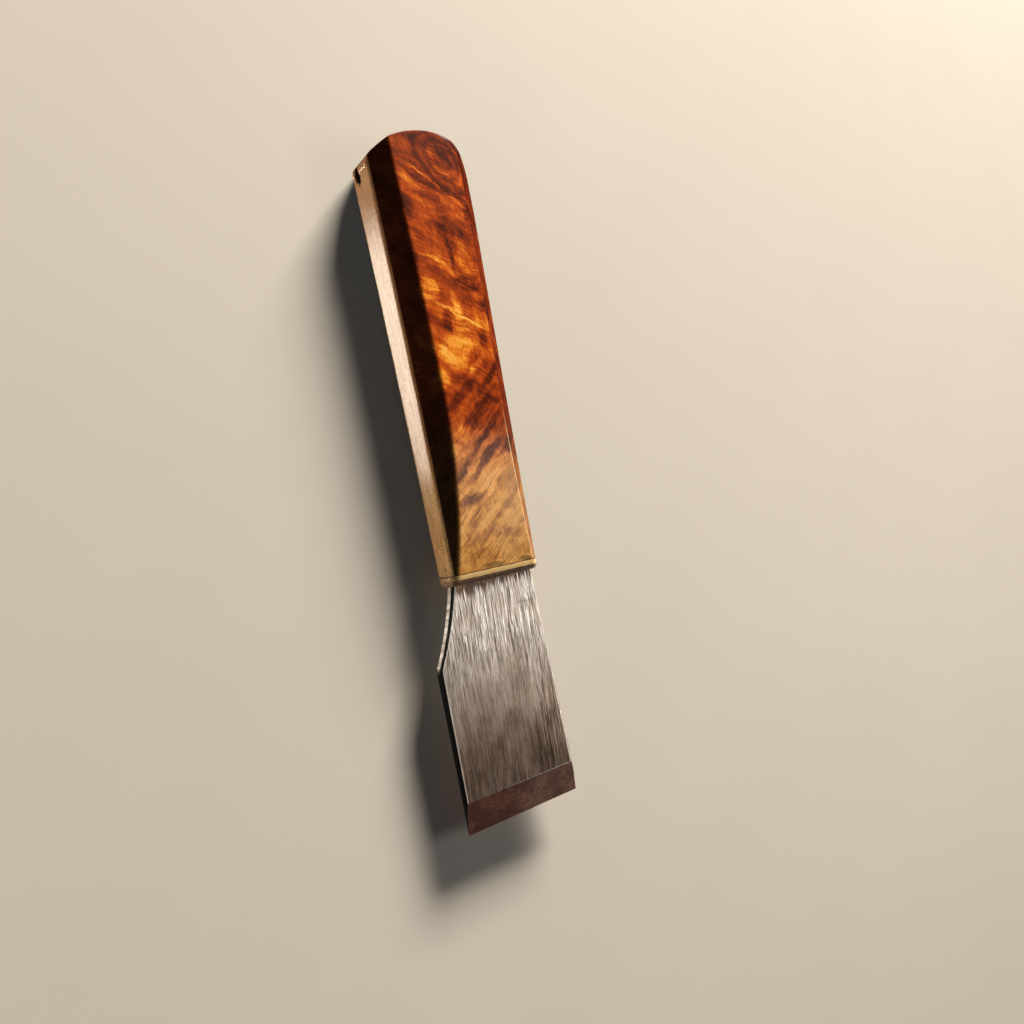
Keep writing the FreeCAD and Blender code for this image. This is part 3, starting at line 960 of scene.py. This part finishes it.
def place_floor():
    """A large pale floor that light from below may pass, as through a light table."""
    size = 6.0
    mesh = bpy.data.meshes.new("floor")
    corners = [(-size, -size, 0), (size, -size, 0), (size, size, 0), (-size, size, 0)]
    mesh.from_pydata(corners, [], [(0, 1, 2, 3)])
    floor = bpy.data.objects.new("floor", mesh)
    bpy.context.scene.collection.objects.link(floor)
    floor.data.materials.append(floor_material())
    floor.visible_shadow = False
    floor.visible_glossy = False


def area_light(name, place, aim, size, power, colour):
    """A rectangular lamp turned towards a point."""
    lamp = bpy.data.lights.new(name, "AREA")
    lamp.shape = "RECTANGLE"
    lamp.size, lamp.size_y = size
    lamp.energy = power
    lamp.color = colour
    made = bpy.data.objects.new(name, lamp)
    made.location = place
    made.rotation_euler = (Vector(aim) - Vector(place)).to_track_quat("-Z", "Y").to_euler()
    bpy.context.scene.collection.objects.link(made)
    return made


def soft_light(name, place, aim, size, power, colour, shine=True, glow=True):
    """A lamp that may be left out of reflections or of matt surfaces."""
    made = area_light(name, place, aim, size, power, colour)
    made.visible_glossy = shine
    made.visible_diffuse = glow
    return made


def place_lights():
    """A raking warm key, a softbox over the neck, and a light table below the floor."""
    warm = (1.0, 0.87, 0.70)
    neutral = (1.0, 0.91, 0.80)
    cream = (1.0, 0.88, 0.72)
    end = Vector((joint_x, axis_y, axis_z)) * MM
    grip = Vector((butt_x * 0.4, axis_y, axis_z)) * MM
    area_light("key", grip + Vector((-1.72, 0.97, 0.86)), grip, (0.9, 0.6), 102.0, warm)
    sheen = end + Vector((0.040, 0.290, 0.41))
    area_light("sheen", sheen, end, (0.17, 0.17), 0.275, neutral)
    side = grip + Vector((-0.085, -0.21, -0.32))
    soft_light("under", side, grip, (0.17, 0.10), 0.38, cream)
    low = grip + Vector((-0.04, -0.27, -0.30))
    soft_light("spill", low, grip, (0.4, 0.2), 0.55, neutral, shine=False)
    rim = end + Vector((0.09, 0.41, -0.265))
    soft_light("rim", rim, end, (0.30, 0.24), 0.34, neutral, glow=False)
    top = end + Vector((-0.02, -0.10, 0.75))
    soft_light("edge", top, end, (0.10, 0.10), 0.32, neutral, glow=False)
    for name in ("under", "spill", "rim"):
        bpy.data.lights[name].cycles.use_multiple_importance_sampling = False
    place_world()


def place_world():
    """A dim room with a soft glow along the horizon."""
    world = bpy.data.worlds.new("studio")
    world.use_nodes = True
    nodes, links = world.node_tree.nodes, world.node_tree.links
    direction = nodes.new("ShaderNodeTexCoord")
    height = nodes.new("ShaderNodeSeparateXYZ")
    away = nodes.new("ShaderNodeMath")
    away.operation = "ABSOLUTE"
    glow = nodes.new("ShaderNodeMapRange")
    glow.interpolation_type = "SMOOTHSTEP"
    spans = {"From Min": 0, "From Max": 0.45, "To Min": 0.3, "To Max": 0.035}
    for name, value in spans.items():
        glow.inputs[name].default_value = value
    background = nodes["Background"]
    background.inputs["Color"].default_value = (1.0, 0.97, 0.94, 1)
    links.new(direction.outputs["Generated"], height.inputs[0])
    links.new(height.outputs["Z"], away.inputs[0])
    links.new(away.outputs[0], glow.inputs["Value"])
    links.new(glow.outputs["Result"], background.inputs["Strength"])
    bpy.context.scene.world = world


def place_camera():
    """Close and low on the left, with the knife upright in the picture."""
    data = bpy.data.cameras.new("camera")
    data.sensor_width = 36
    data.lens = 28.1
    camera = bpy.data.objects.new("camera", data)
    place = Vector((joint_x - 7.8, axis_y - 122.0, axis_z + 193.7)) * MM
    forward = Vector((-0.02905, 0.56689, -0.82328)).normalized()
    down = Vector((0.97987, -0.14661, -0.13554))
    right = down.cross(forward).normalized()
    up = right.cross(forward)
    rotation = camera.rotation_euler.to_matrix()
    rotation.col[0] = right
    rotation.col[1] = up
    rotation.col[2] = -forward
    camera.location = place
    camera.rotation_euler = rotation.to_euler()
    data.clip_start = 0.01
    data.clip_end = 50
    bpy.context.scene.collection.objects.link(camera)
    bpy.context.scene.camera = camera


# ---------------------------------------------------------------- the knife

def dress(piece, material, node):
    """Gives a piece its material and puts it in the place of its CAD node."""
    piece.data.materials.clear()
    piece.data.materials.append(material)
    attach(piece, "root")
    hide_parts(node)


place_camera()
place_floor()
place_lights()
wood = handle_piece()
wood.visible_diffuse = False     # no orange tint on the floor beside the handle
dress(wood, wood_material(), "handle")
dress(plate_piece(), brass_material(), "end_plate")
dress(blade_piece(), steel_material(), "blade")
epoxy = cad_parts["epoxy_bed"]
epoxy.data.materials.clear()
epoxy.data.materials.append(epoxy_material())
bpy.context.scene.view_settings.view_transform = "Standard"
